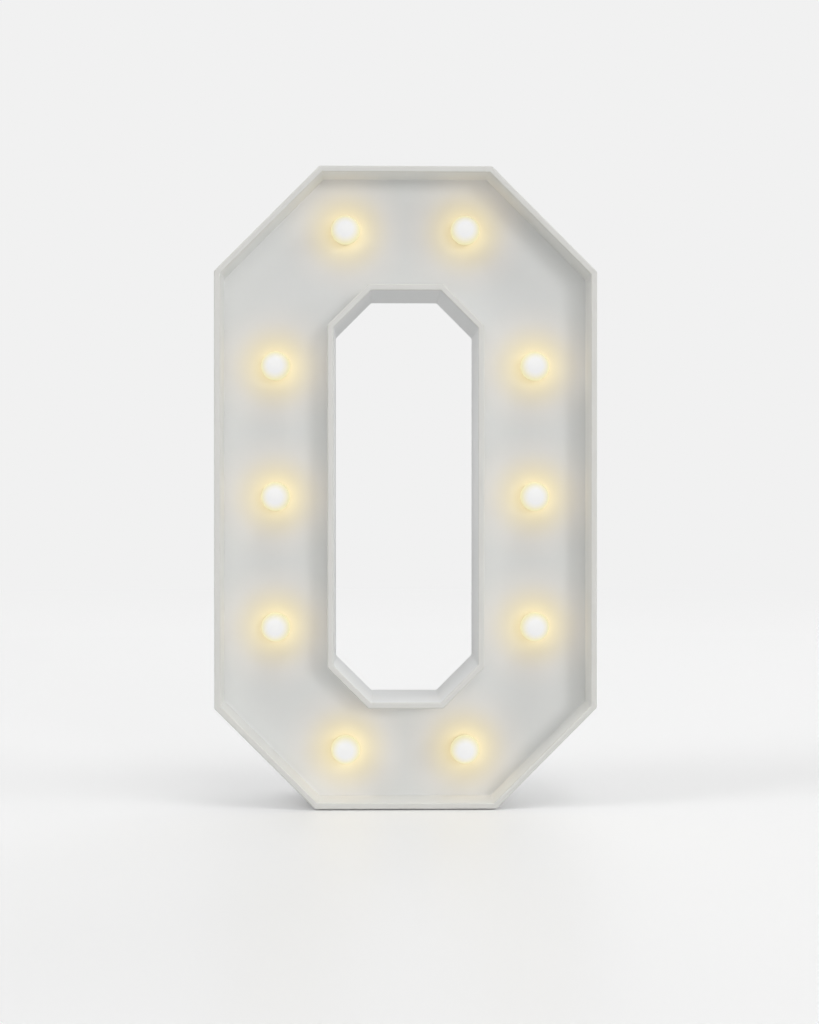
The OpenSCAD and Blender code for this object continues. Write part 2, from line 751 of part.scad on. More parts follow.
switch_route = [
    [cell_xs[0], solder_tab_y + tab_wire_gap, tab_low],
    [cell_xs[0], solder_tab_y + tab_wire_gap, tab_high],
    [cell_xs[0] + wire_r, (solder_tab_y + tab_wire_gap + resistor_y) / 2, tab_high + wire_rise],
    [switch_x - wire_reach, resistor_y, switch_z - wire_bend],
    [switch_x - wire_bend, resistor_y, switch_z],
    [switch_x - blade_half_w - touch_gap, resistor_y, switch_z]
];
module positive_wire() { color("firebrick") tube(positive_route, wire_r, wire_sides); }
module negative_wire() { color("black") tube(negative_route, wire_r, wire_sides); }
module switch_wire() { color("firebrick") tube(switch_route, wire_r, wire_sides); }

front_shell();
back_cover();
cover_screws();
for (i = [0 : last_bulb]) {
    bulb(bulb_places[i]);
    led(bulb_places[i]);
}
led_leads();
bulb_retainers();
battery_door();
battery(cell_xs[0], 1);  // battery_1
battery(cell_xs[1], -1);  // battery_2
link_contact();
positive_contact();
negative_contact();
cell_spring(cell_xs[0], bay_low, 1);  // link_spring
cell_spring(cell_xs[1], bay_high, -1);  // negative_spring
switch_case();
switch_board();
switch_blades();
switch_knob();
switch_screws();
resistor();
positive_wire();
negative_wire();
switch_wire();
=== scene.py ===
"""Light-up marquee zero: a white moulded shell with ten lit bulbs, a battery bay and a switch."""

import math

import bmesh
import bpy
from mathutils import Matrix, Vector


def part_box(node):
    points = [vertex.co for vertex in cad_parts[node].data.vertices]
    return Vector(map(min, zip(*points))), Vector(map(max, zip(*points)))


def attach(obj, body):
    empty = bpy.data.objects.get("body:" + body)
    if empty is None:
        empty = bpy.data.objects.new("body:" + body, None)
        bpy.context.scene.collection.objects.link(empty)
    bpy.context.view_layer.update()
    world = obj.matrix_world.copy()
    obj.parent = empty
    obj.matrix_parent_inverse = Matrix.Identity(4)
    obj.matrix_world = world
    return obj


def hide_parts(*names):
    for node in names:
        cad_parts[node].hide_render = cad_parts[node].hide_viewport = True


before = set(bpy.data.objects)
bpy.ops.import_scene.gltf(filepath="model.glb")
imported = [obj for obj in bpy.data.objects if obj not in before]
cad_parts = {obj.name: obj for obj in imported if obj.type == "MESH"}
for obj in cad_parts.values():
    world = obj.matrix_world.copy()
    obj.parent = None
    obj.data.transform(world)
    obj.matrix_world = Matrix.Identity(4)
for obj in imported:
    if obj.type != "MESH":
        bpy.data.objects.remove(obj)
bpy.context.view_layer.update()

# Camera: it looks at the front nearly square on, from just left of the middle and a little under half the
# height. The lens is given for a 36 mm frame along the picture's long side.
camera_place = Vector((-0.01192, -0.68109, 0.10637))
camera_pitch = math.radians(-0.404)
camera_yaw = math.radians(-1.142)
camera_lens = 67.74

scene = bpy.context.scene
scene.view_settings.view_transform = "Standard"
camera_data = bpy.data.cameras.new("camera")
camera_data.lens = camera_lens
camera_data.sensor_width = 36.0
camera = bpy.data.objects.new("camera", camera_data)
camera.location = camera_place
camera.rotation_euler = (math.radians(90) + camera_pitch, 0, camera_yaw)
scene.collection.objects.link(camera)
scene.camera = camera

# Front shell: outer wall, wall round the hole, recessed face and screw posts, moulded in one piece of white
# ABS. The mould leaves a small radius along every edge and a fine, slightly uneven satin skin.
MM = 0.001
shell_low, shell_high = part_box("front_shell")
bulb_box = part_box("bulb_1")
wall_t = 2.1 * MM
face_t = 2.0 * MM
face_depth = 17.0 * MM
edge_r = 0.45 * MM
corner_r = 0.3 * MM
top_cut = 36.0 * MM
bottom_cut = 34.5 * MM
hole_low = Vector((-24.75, 0, 36.5)) * MM
hole_high = Vector((24.75, 0, 177.5)) * MM
hole_cut = 12.8 * MM
neck_hole_r = 3.8 * MM
post_r = 3.5 * MM
post_end_y = 18.0 * MM
pilot_r = 1.1 * MM
pilot_depth = 12.0 * MM
right_posts = [Vector((37.60, 0, 192.10)) * MM, Vector((56.5, 0, 129.7)) * MM,
               Vector((38.35, 0, 27.15)) * MM]
post_places = right_posts + [Vector((-p.x, 0, p.z)) for p in right_posts]
front_y = shell_low.y
rear_y = shell_high.y
face_y = front_y + face_depth
face_back_y = face_y + face_t
TINY = 1e-6
SIDES = 48
HARD_EDGE = math.radians(30)
SHADING_BREAK = math.radians(40)


def add_octagon(bm, low, high, low_cut, high_cut, grow, depth):
    """Edges of an upright rectangle with its corners cut at 45 degrees, moved outwards by grow."""
    middle = (low + high) / 2
    upright = Matrix.Rotation(math.radians(90), 4, "X")
    size = Matrix.Diagonal((high.x - low.x + 2 * grow, high.z - low.z + 2 * grow, 1, 1))
    place = Matrix.Translation((middle.x, depth, middle.z)) @ upright @ size
    corners = bmesh.ops.create_grid(bm, x_segments=1, y_segments=1, size=0.5, matrix=place)["verts"]
    cut_grow = grow * (2 - math.sqrt(2))
    upper = [v for v in corners if v.co.z > middle.z]
    lower = [v for v in corners if v.co.z < middle.z]
    for verts, cut in ((upper, high_cut), (lower, low_cut)):
        bmesh.ops.bevel(bm, geom=verts, offset=cut + cut_grow, offset_type="OFFSET", affect="VERTICES",
                        segments=1, profile=0.5, material=-1)
    outline = bm.faces[:][0]
    edges = outline.edges[:]
    bmesh.ops.delete(bm, geom=[outline], context="FACES_ONLY")
    return edges


def add_circle(bm, centre, radius):
    """Edges of an upright circle that faces along Y."""
    place = Matrix.Translation(centre) @ Matrix.Rotation(math.radians(90), 4, "X")
    verts = bmesh.ops.create_circle(bm, segments=SIDES, radius=radius, matrix=place)["verts"]
    return list({e for v in verts for e in v.link_edges})


def draw_out(bm, edges, offset, size=1.0):
    """Extrudes a closed loop of edges by an offset, scales it about its middle and returns the new loop."""
    made = bmesh.ops.extrude_edge_only(bm, edges=edges)["geom"]
    verts = [g for g in made if isinstance(g, bmesh.types.BMVert)]
    bmesh.ops.translate(bm, verts=verts, vec=offset)
    middle = sum((v.co for v in verts), Vector()) / len(verts)
    bmesh.ops.scale(bm, verts=verts, vec=(size, size, size), space=Matrix.Translation(-middle))
    return [g for g in made if isinstance(g, bmesh.types.BMEdge) and len(g.link_faces) == 1]


def refill(bm, depth, holes):
    """Replaces the flat faces at one depth by a face with holes in it."""
    flat = [f for f in bm.faces if all(abs(v.co.y - depth) < TINY for v in f.verts)]
    bmesh.ops.delete(bm, geom=flat, context="FACES")
    rim = [e for e in bm.edges if e.is_boundary and all(abs(v.co.y - depth) < TINY for v in e.verts)]
    edges = rim + [e for hole in holes for e in hole]
    bmesh.ops.triangle_fill(bm, use_beauty=True, edges=edges)


def linear(hex_colour):
    """Linear colour of an sRGB hex value."""
    parts = [int(hex_colour[i:i + 2], 16) / 255 for i in (1, 3, 5)]
    return [p / 12.92 if p <= 0.04045 else ((p + 0.055) / 1.055) ** 2.4 for p in parts] + [1.0]


def add_node(owner, kind, inputs, **settings):
    """Adds a node with its settings; an input is a number, a colour or another node's output."""
    node = owner.node_tree.nodes.new(kind)
    for name, value in settings.items():
        setattr(node, name, value)
    for name, value in inputs.items():
        if isinstance(value, bpy.types.NodeSocket):
            owner.node_tree.links.new(value, node.inputs[name])
        else:
            node.inputs[name].default_value = value
    return node


def new_material(name):
    """An empty node material."""
    material = bpy.data.materials.new(name)
    material.use_nodes = True
    material.node_tree.nodes.clear()
    return material


def finished_piece(bm, name, material, body, slot, *nodes):
    """Makes the mesh a piece that rides on a body and stands for CAD nodes."""
    bmesh.ops.recalc_face_normals(bm, faces=bm.faces)
    for face in bm.faces:
        face.smooth = True
    for edge in bm.edges:
        edge.smooth = edge.calc_face_angle(0) < SHADING_BREAK
    mesh = bpy.data.meshes.new(name)
    bm.to_mesh(mesh)
    bm.free()
    mesh.materials.append(material)
    piece = bpy.data.objects.new(name, mesh)
    scene.collection.objects.link(piece)
    shading = piece.modifiers.new("even_shading", "WEIGHTED_NORMAL")
    shading.keep_sharp = True
    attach(piece, body)
    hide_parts(*nodes)
    return piece


bulb_names = [f"bulb_{i}" for i in range(1, 11)]
bulb_places = [(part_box(n)[0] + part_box(n)[1]) / 2 for n in bulb_names]

# Satin ABS: a soft, broad gloss over white, with the faint mottle and orange peel of a large flat moulding,
# and greyer lips in front. Round each lit neck a pool of amber light is painted on: a painted amber tint in
# the colour and a painted amber glow in the emission, both fading out from the bulb. The grain is under
# 0.3 mm, too fine to show, so it is 0.9 mm here.
grain_mm = 0.9
mottle_mm = 28.0
lip_noise_mm = 6.0
# Painted light: next to each bulb the ABS is tinted amber and given a weak amber emission, fading out over
# these distances.
painted_light_near = 2.7 * MM
painted_light_far = 18.0 * MM
painted_glow_near = 6.3 * MM
painted_glow_far = 25.0 * MM
grey_lip_depth = 1.3 * MM
skin_height = 0.1 * MM
white_abs = new_material("satin_white_abs")
place = add_node(white_abs, "ShaderNodeTexCoord", {}).outputs["Object"]
mottle = add_node(white_abs, "ShaderNodeTexNoise",
                  {"Vector": place, "Scale": 1000 / mottle_mm, "Detail": 3.0}).outputs["Fac"]
grain = add_node(white_abs, "ShaderNodeTexNoise",
                 {"Vector": place, "Scale": 1000 / grain_mm, "Detail": 2.0}).outputs["Fac"]
nearest = painted_glow_far
for p in bulb_places:
    away = add_node(white_abs, "ShaderNodeVectorMath", {0: place, 1: (p.x, face_y, p.z)},
                    operation="DISTANCE").outputs["Value"]
    nearest = add_node(white_abs, "ShaderNodeMath", {0: away, 1: nearest},
                       operation="MINIMUM").outputs["Value"]
# Painted amber light: 1 next to a bulb, fading to 0 further out.
painted_amber_light = add_node(white_abs, "ShaderNodeMapRange",
                 {"Value": nearest, "From Min": painted_light_far, "From Max": painted_light_near},
                 interpolation_type="SMOOTHSTEP").outputs["Result"]
plain = add_node(white_abs, "ShaderNodeMix", {0: mottle, 6: linear("#E6E7E6"), 7: linear("#ECEDEC")},
                 data_type="RGBA").outputs[2]
# The colour is painted amber near the bulbs, as light from the lit necks.
painted_light_tone = add_node(white_abs, "ShaderNodeMix", {0: painted_amber_light, 6: plain, 7: linear("#EBE4C3")},
                 data_type="RGBA").outputs[2]
depth = add_node(white_abs, "ShaderNodeSeparateXYZ", {"Vector": place}).outputs["Y"]
# The front lips are mixed towards a grey, #E0DFDA, in uneven patches, over the front 1.3 mm of depth.
lip_noise = add_node(white_abs, "ShaderNodeTexNoise",
                {"Vector": place, "Scale": 1000 / lip_noise_mm, "Detail": 2.0}).outputs["Fac"]
lip_grey_level = add_node(white_abs, "ShaderNodeMapRange",
                  {"Value": lip_noise, "To Min": 0.6, "To Max": 1.0}).outputs["Result"]
grey_lip_mask = add_node(white_abs, "ShaderNodeMapRange",
                {"Value": depth, "From Min": front_y + grey_lip_depth, "From Max": front_y + grey_lip_depth / 4,
                 "To Max": lip_grey_level}, interpolation_type="SMOOTHSTEP").outputs["Result"]
tone = add_node(white_abs, "ShaderNodeMix", {0: grey_lip_mask, 6: painted_light_tone, 7: linear("#E0DFDA")},
                data_type="RGBA").outputs[2]
# Painted glow: an amber emission near the bulbs, though the shell is no lamp.
glow = add_node(white_abs, "ShaderNodeMapRange",
                {"Value": nearest, "From Min": painted_glow_far, "From Max": painted_glow_near},
                interpolation_type="SMOOTHSTEP").outputs["Result"]
painted_glow_colour = add_node(white_abs, "ShaderNodeMix", {0: glow, 6: linear("#000000"), 7: linear("#564021")},
                 data_type="RGBA").outputs[2]
gloss = add_node(white_abs, "ShaderNodeMapRange",
                 {"Value": mottle, "To Min": 0.3, "To Max": 0.42}).outputs["Result"]
skin = add_node(white_abs, "ShaderNodeBump",
                {"Height": grain, "Strength": 0.08, "Distance": skin_height}).outputs["Normal"]
surface = add_node(white_abs, "ShaderNodeBsdfPrincipled",
                   {"Base Color": tone, "Roughness": gloss, "Normal": skin, "IOR": 1.53,
                    "Emission Color": painted_glow_colour, "Emission Strength": 1.0})
add_node(white_abs, "ShaderNodeOutputMaterial", {"Surface": surface.outputs["BSDF"]})

# The shell's section is a closed chain of octagons, from the rear rim round the lips and back. They are
# drawn as a stack, because loops that lie apart are joined corner to corner, and then moved to their depths.
outer = (shell_low, shell_high, bottom_cut, top_cut)
hole = (hole_low, hole_high, hole_cut, hole_cut)
section = [(outer, 0, rear_y), (outer, 0, front_y), (outer, -wall_t, front_y), (outer, -wall_t, face_y),
           (hole, wall_t, face_y), (hole, wall_t, front_y), (hole, 0, front_y), (hole, 0, rear_y),
           (hole, wall_t, rear_y), (hole, wall_t, face_back_y), (outer, -wall_t, face_back_y),
           (outer, -wall_t, rear_y)]
bm = bmesh.new()
stack_step = 10 * MM
loops = [add_octagon(bm, *outline, grow, i * stack_step) for i, (outline, grow, _) in enumerate(section)]
for loop, following in zip(loops, loops[1:] + loops[:1]):
    bmesh.ops.bridge_loops(bm, edges=loop + following)
for i, (_, _, depth) in enumerate(section):
    corners = list({v for e in loops[i] for v in e.verts})
    bmesh.ops.translate(bm, verts=corners, vec=(0, depth - i * stack_step, 0))
bmesh.ops.recalc_face_normals(bm, faces=bm.faces)
for inside, radius in ((False, edge_r), (True, corner_r)):
    edges = [e for e in bm.edges if e.calc_face_angle() > HARD_EDGE
             and all(abs(v.co.y - face_back_y) > TINY for v in e.verts)
             and inside == all(abs(v.co.y - face_y) < TINY for v in e.verts)]
    bmesh.ops.bevel(bm, geom=edges, offset=radius, offset_type="OFFSET", affect="EDGES", segments=4,
                    profile=0.5, material=-1)
holes_front = [add_circle(bm, (p.x, face_y, p.z), neck_hole_r) for p in bulb_places]
holes_back = [add_circle(bm, (p.x, face_back_y, p.z), neck_hole_r) for p in bulb_places]
post_roots = [add_circle(bm, (p.x, face_back_y, p.z), post_r) for p in post_places]
refill(bm, face_y, holes_front)
refill(bm, face_back_y, holes_back + post_roots)
for front, back in zip(holes_front, holes_back):
    bmesh.ops.bridge_loops(bm, edges=front + back)
for root in post_roots:
    post_rim = draw_out(bm, root, (0, post_end_y - face_back_y, 0))
    pilot_rim = draw_out(bm, post_rim, (0, 0, 0), pilot_r / post_r)
    pilot_end = draw_out(bm, pilot_rim, (0, -pilot_depth, 0))
    bmesh.ops.edgeloop_fill(bm, edges=pilot_end)
finished_piece(bm, "shell_moulding", white_abs, "housing", "white_abs", "front_shell")

# Bulbs: ten frosted polycarbonate globes, each with a collar that sits on the face and a neck that goes
# through it to the diode. Lit from inside, a globe is white in front and turns yellow towards its collar.
globe_r = (bulb_box[1].x - bulb_box[0].x) / 2
globe_y = bulb_box[0].y + globe_r
globe_wall = 0.8 * MM
collar_r = 4.4 * MM
collar_t = 1.0 * MM
neck_r = 3.6 * MM
neck_in_r = 2.6 * MM
neck_end_y = bulb_box[1].y


def line_to(bm, vert, *points):
    """Draws edges from a vertex through points, and returns the last vertex."""
    for point in points:
        reached = bm.verts.new(point)
        bm.edges.new((vert, reached))
        vert = reached
    return vert


def arc_to(bm, vert, centre, angle, steps):
    """Draws an arc from a vertex about a centre in the XY plane, and returns its last vertex."""
    swept = bmesh.ops.spin(bm, geom=[vert], cent=centre, axis=(0, 0, 1), angle=angle, steps=steps)
    return [g for g in swept["geom_last"] if isinstance(g, bmesh.types.BMVert)][0]


def spin_round(bm):
    """Spins what is drawn once round the Y axis, and closes its seam and its poles."""
    bmesh.ops.spin(bm, geom=bm.verts[:] + bm.edges[:], cent=(0, 0, 0), axis=(0, 1, 0), angle=2 * math.pi,
                   steps=SIDES, use_merge=True)
    bmesh.ops.remove_doubles(bm, verts=bm.verts, dist=TINY)


bm = bmesh.new()
centre = (0, globe_y, 0)
vert = bm.verts.new((0, globe_y - globe_r, 0))
vert = arc_to(bm, vert, centre, math.pi - math.asin(neck_r / globe_r), 20)
collar_edge = collar_t / 2
vert = line_to(bm, vert, (neck_r, face_y - collar_t, 0), (collar_r - collar_edge, face_y - collar_t, 0))
vert = arc_to(bm, vert, (collar_r - collar_edge, face_y - collar_edge, 0), math.pi / 2, 5)
vert = line_to(bm, vert, (collar_r, face_y, 0), (neck_r, face_y, 0), (neck_r, neck_end_y, 0),
               (neck_in_r, neck_end_y, 0))
inner_r = globe_r - globe_wall
turn = math.asin(neck_in_r / inner_r)
vert = line_to(bm, vert, (neck_in_r, globe_y + inner_r * math.cos(turn), 0))
arc_to(bm, vert, centre, turn - math.pi, 14)
spin_round(bm)
bulb_shape = bpy.data.meshes.new("bulb_shape")
bm.to_mesh(bulb_shape)
bm.free()

# Frosted polycarbonate, lit: white at the tip, cream at the rim, and brightest behind the rim, where the
# diode's nose lies and light spreads over the face. The ramp runs along the bulb from its tip to the face.
# The frosting is finer than 0.1 mm, so it is drawn at 0.5 mm to show.
frost_mm = 0.5
frosted = new_material("lit_frosted_polycarbonate")
place = add_node(frosted, "ShaderNodeTexCoord", {}).outputs["Object"]
depth = add_node(frosted, "ShaderNodeSeparateXYZ", {"Vector": place}).outputs["Y"]
share = add_node(frosted, "ShaderNodeMapRange",
                 {"Value": depth, "From Min": globe_y - globe_r, "From Max": face_y})
ramp = add_node(frosted, "ShaderNodeValToRGB", {"Fac": share.outputs["Result"]})
stops = [(0.0, "#67686B"), (0.06, "#67686B"), (0.15, "#686762"), (0.25, "#686556"), (0.38, "#67644E"),
         (0.57, "#67644E"), (0.68, "#ABA495"), (0.73, "#ABA495"), (0.92, "#504B38"), (1.0, "#504B38")]
while len(ramp.color_ramp.elements) < len(stops):
    ramp.color_ramp.elements.new(1.0)
for element, (position, colour) in zip(ramp.color_ramp.elements, stops):
    element.position = position
    element.color = linear(colour)
frost = add_node(frosted, "ShaderNodeTexNoise",
                 {"Vector": place, "Scale": 1000 / frost_mm, "Detail": 2.0}).outputs["Fac"]
gloss = add_node(frosted, "ShaderNodeMapRange",
                 {"Value": frost, "To Min": 0.36, "To Max": 0.56}).outputs["Result"]
skin = add_node(frosted, "ShaderNodeBump",
                {"Height": frost, "Strength": 0.1, "Distance": skin_height}).outputs["Normal"]
surface = add_node(frosted, "ShaderNodeBsdfPrincipled",
                   {"Base Color": linear("#7E7966"), "Roughness": gloss, "IOR": 1.58, "Normal": skin,
                    "Emission Color": ramp.outputs["Color"], "Emission Strength": 5.0})
add_node(frosted, "ShaderNodeOutputMaterial", {"Surface": surface.outputs["BSDF"]})

for name, p in zip(bulb_names, bulb_places):
    bm = bmesh.new()
    bm.from_mesh(bulb_shape)
    bmesh.ops.translate(bm, verts=bm.verts, vec=(p.x, 0, p.z))
    finished_piece(bm, name + "_globe", frosted, "housing", "frosted_bulb", name)

# Diodes: ten 5 mm warm diodes, cast in epoxy with a round nose and a flange. Each is pushed into a bulb's
# neck from behind, and the cup over the neck keeps it there.
led_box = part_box("led_1")
led_r = 2.5 * MM
led_flange_r = (led_box[1].x - led_box[0].x) / 2
led_flange_t = 1.0 * MM
led_nose_y = led_box[0].y
led_end_y = led_box[1].y


def mottled(name, dark, light, size_mm, roughness, stretch=(1, 1, 1), **sockets):
    """A material whose colour, gloss and skin follow one noise of a given size, drawn out by stretch."""
    material = new_material(name)
    place = add_node(material, "ShaderNodeTexCoord", {}).outputs["Object"]
    drawn = add_node(material, "ShaderNodeMapping", {"Vector": place, "Scale": stretch}).outputs["Vector"]
    cloud = add_node(material, "ShaderNodeTexNoise",
                     {"Vector": drawn, "Scale": 1000 / size_mm, "Detail": 3.0}).outputs["Fac"]
    tone = add_node(material, "ShaderNodeMix", {0: cloud, 6: linear(dark), 7: linear(light)},
                    data_type="RGBA").outputs[2]
    gloss = add_node(material, "ShaderNodeMapRange",
                     {"Value": cloud, "To Min": roughness[0], "To Max": roughness[1]}).outputs["Result"]
    skin = add_node(material, "ShaderNodeBump",
                    {"Height": cloud, "Strength": 0.1, "Distance": skin_height}).outputs["Normal"]
    inputs = {"Base Color": tone, "Roughness": gloss, "Normal": skin}
    for socket, value in sockets.items():
        inputs[socket.replace("_", " ")] = value
    surface = add_node(material, "ShaderNodeBsdfPrincipled", inputs)
    add_node(material, "ShaderNodeOutputMaterial", {"Surface": surface.outputs["BSDF"]})
    return material


bm = bmesh.new()
vert = bm.verts.new((0, led_nose_y, 0))
vert = arc_to(bm, vert, (0, led_nose_y + led_r, 0), math.pi / 2, 10)
line_to(bm, vert, (led_r, led_end_y - led_flange_t, 0), (led_flange_r, led_end_y - led_flange_t, 0),
        (led_flange_r, led_end_y, 0), (0, led_end_y, 0))
spin_round(bm)
diode_shape = bpy.data.meshes.new("diode_shape")
bm.to_mesh(diode_shape)
bm.free()

# Warm epoxy: amber, cloudy inside and glossy outside, and it glows while the diode is lit.
lit_epoxy = mottled("lit_warm_epoxy", "#D9B45C", "#F0D48A", 2.0, (0.12, 0.2), IOR=1.54,
                    Emission_Color=linear("#FFD9A0"), Emission_Strength=1.5)
for i, p in enumerate(bulb_places, 1):
    bm = bmesh.new()
    bm.from_mesh(diode_shape)
    bmesh.ops.translate(bm, verts=bm.verts, vec=(p.x, 0, p.z))
    finished_piece(bm, f"diode_{i}", lit_epoxy, "housing", "led_epoxy", f"led_{i}")

# Leads and cups: square tinned steel leads in pairs, and moulded nylon cups that clip over the necks behind
# the face and trap the diodes. Both keep their CAD shape, with the edges rounded.
lead_edge_r = 0.05 * MM
cup_edge_r = 0.2 * MM


def rounded_copy(node, radius):
    """A copy of a CAD node with its triangles merged into flat faces and its sharp edges rounded."""
    bm = bmesh.new()
    bm.from_mesh(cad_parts[node].data)
    bmesh.ops.remove_doubles(bm, verts=bm.verts, dist=TINY)
    bmesh.ops.dissolve_limit(bm, angle_limit=math.radians(1), verts=bm.verts, edges=bm.edges)
    edges = [e for e in bm.edges if e.calc_face_angle() > HARD_EDGE]
    bmesh.ops.bevel(bm, geom=edges, offset=radius, offset_type="OFFSET", affect="EDGES", segments=3,
                    profile=0.5, material=-1, clamp_overlap=True)
    return bm


# Tinned steel: soft grey, with the cloudy streaks of a dipped coat along the lead.
tinned = mottled("tinned_steel", "#A9ABAD", "#C8CACB", 0.8, (0.28, 0.45), stretch=(1, 0.2, 1), Metallic=1.0)
finished_piece(rounded_copy("led_leads", lead_edge_r), "lead_pairs", tinned, "housing", "tinned_steel",
               "led_leads")

# Natural nylon: milky, and it lets some light through.
milky_nylon = mottled("moulded_natural_nylon", "#DAD7CB", "#E8E6DC", 6.0, (0.35, 0.5), IOR=1.53,
                      Transmission_Weight=0.25)
finished_piece(rounded_copy("bulb_retainers", cup_edge_r), "neck_cups", milky_nylon, "housing",
               "clear_nylon", "bulb_retainers")

# Wires: stranded copper in a PVC sleeve. The red one runs outside the leads of every diode in turn, the
# black one inside, and a short red one goes from the upper cell contact to the switch. All are soldered at
# both ends, and their bends are laid out in steps of 1 mm.
wire_r = 0.6 * MM
cup_gap = 0.9 * MM
wire_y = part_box("bulb_retainers")[1].y + cup_gap
step = 1.0 * MM
solder_gap = 0.15 * MM
blade_gap = 0.9 * MM
lead_run = 1.5 * MM
track_off = 2.27 * MM
arm_x = bulb_places[0].x
cell_xs = [37.725 * MM, 52.525 * MM]
tab_y = 7.4 * MM
tab_gap = 0.95 * MM
tab_low = 115.85 * MM
tab_high = 119.35 * MM
switch_z = 146.0 * MM
resistor_low, resistor_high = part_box("resistor")
resistor_mid = (resistor_low + resistor_high) / 2
outwards = [(1, 0), (0, 1), (0, 1), (-1, 0), (-1, 0), (-1, 0), (0, -1), (0, -1), (1, 0), (1, 0)]


def add_path(name, points, radius, material, body, slot, node):
    """A round wire along points, with closed ends, as a piece that stands for a CAD node."""
    path = bpy.data.curves.new(name + "_path", "CURVE")
    path.dimensions = "3D"
    path.bevel_depth = radius
    path.bevel_resolution = 3
    path.resolution_u = 6
    path.use_fill_caps = True
    spline = path.splines.new("BEZIER")
    spline.bezier_points.add(len(points) - 1)
    for knot, point in zip(spline.bezier_points, points):
        knot.co = point
        knot.handle_left_type = "AUTO"
        knot.handle_right_type = "AUTO"
    guide = bpy.data.objects.new(name + "_path", path)
    bm = bmesh.new()
    bm.from_mesh(guide.to_mesh())
    bpy.data.objects.remove(guide)
    bmesh.ops.remove_doubles(bm, verts=bm.verts, dist=TINY)
    finished_piece(bm, name, material, body, slot, node)


def beside_leads(i, side, run):
    """A point beside the leads of diode i, on the outer or inner side, before or past them."""
    out_x, out_z = outwards[i]
    p = bulb_places[i]
    across = side * track_off
    return Vector((p.x + across * out_x - run * out_z, wire_y, p.z + across * out_z + run * out_x))


outer_track = [beside_leads(i, 1, run) for i in range(10) for run in (-lead_run, lead_run)]
inner_track = [beside_leads(i, -1, run) for i in range(9, -1, -1) for run in (lead_run, -lead_run)]
end_x = resistor_high.x
from_resistor = [Vector((end_x + solder_gap, resistor_mid.y, resistor_mid.z)),
                 Vector((end_x + step, resistor_mid.y, resistor_mid.z)),
                 Vector((end_x + 2 * step, (resistor_mid.y + wire_y) / 2, resistor_mid.z - 2 * step)),
                 Vector((end_x - step, wire_y + wire_r, resistor_mid.z - 4 * step)),
                 Vector((outer_track[0].x + 3 * step, wire_y, outer_track[0].z - 5 * step))]
from_cell = [Vector((cell_xs[1], tab_y - tab_gap, tab_high)),
             Vector((cell_xs[1], tab_y - tab_gap, tab_low + step)),
             Vector((cell_xs[1] - step, wire_y + step, tab_low)),
             Vector((cell_xs[1] - 4 * step, wire_y, tab_low - step)),
             Vector((inner_track[0].x, wire_y, inner_track[0].z + 3 * step))]
to_switch = [Vector((cell_xs[0], tab_y + tab_gap, tab_low)),
             Vector((cell_xs[0], tab_y + tab_gap, tab_high)),
             Vector((cell_xs[0] + wire_r, (tab_y + tab_gap + resistor_mid.y) / 2, tab_high + 8 * step)),
             Vector((arm_x - 5 * step, resistor_mid.y, switch_z - 3 * step)),
             Vector((arm_x - 3 * step, resistor_mid.y, switch_z)),
             Vector((arm_x - blade_gap, resistor_mid.y, switch_z))]

# Extruded PVC: an even colour with a dull gloss and slow waves in its skin.
red_pvc = mottled("extruded_red_pvc", "#9E1F1C", "#B52A24", 4.0, (0.35, 0.5), IOR=1.53)
black_pvc = mottled("extruded_black_pvc", "#151516", "#212122", 4.0, (0.35, 0.5), IOR=1.53)
add_path("positive_lead", from_resistor + outer_track, wire_r, red_pvc, "housing", "red_pvc",
         "positive_wire")
add_path("negative_lead", from_cell + inner_track, wire_r, black_pvc, "housing", "black_pvc",
         "negative_wire")
add_path("switch_lead", to_switch, wire_r, red_pvc, "housing", "red_pvc", "switch_wire")

# Back cover: a plate of the same white ABS with the battery bay, screw pads and switch recess moulded on.
# It sits between the walls, 0.5 mm below their rear rims, and keeps its CAD shape, with the edges rounded.
cover_edge_r = 0.25 * MM
finished_piece(rounded_copy("back_cover", cover_edge_r), "cover_moulding", white_abs, "housing",
               "white_abs", "back_cover")

# Contact plates: pressed from nickel-plated steel strip, with a dimple for a button or a spring, and with
# solder tabs that pass through slots in the bay's upper end.
plate_edge_r = 0.08 * MM
# Nickel plate: warm bright grey with the faint lines of rolled strip.
nickel = mottled("nickel_plated_strip", "#B8B3A8", "#CFCBC1", 1.2, (0.16, 0.3), stretch=(0.15, 1, 1),
                 Metallic=1.0)
for node in ("link_contact", "positive_contact", "negative_contact"):
    finished_piece(rounded_copy(node, plate_edge_r), node.replace("contact", "strip"), nickel, "housing",
                   "nickel_plate", node)

# Cell springs: two cones wound from plated spring wire, each soldered to its plate by the wide end, that
# press on the flat ends of the cells.
spring_wire_r = 0.3 * MM
spring_wide_r = 4.0 * MM
spring_narrow_r = 2.2 * MM
spring_turns = 4
knots_a_turn = 16
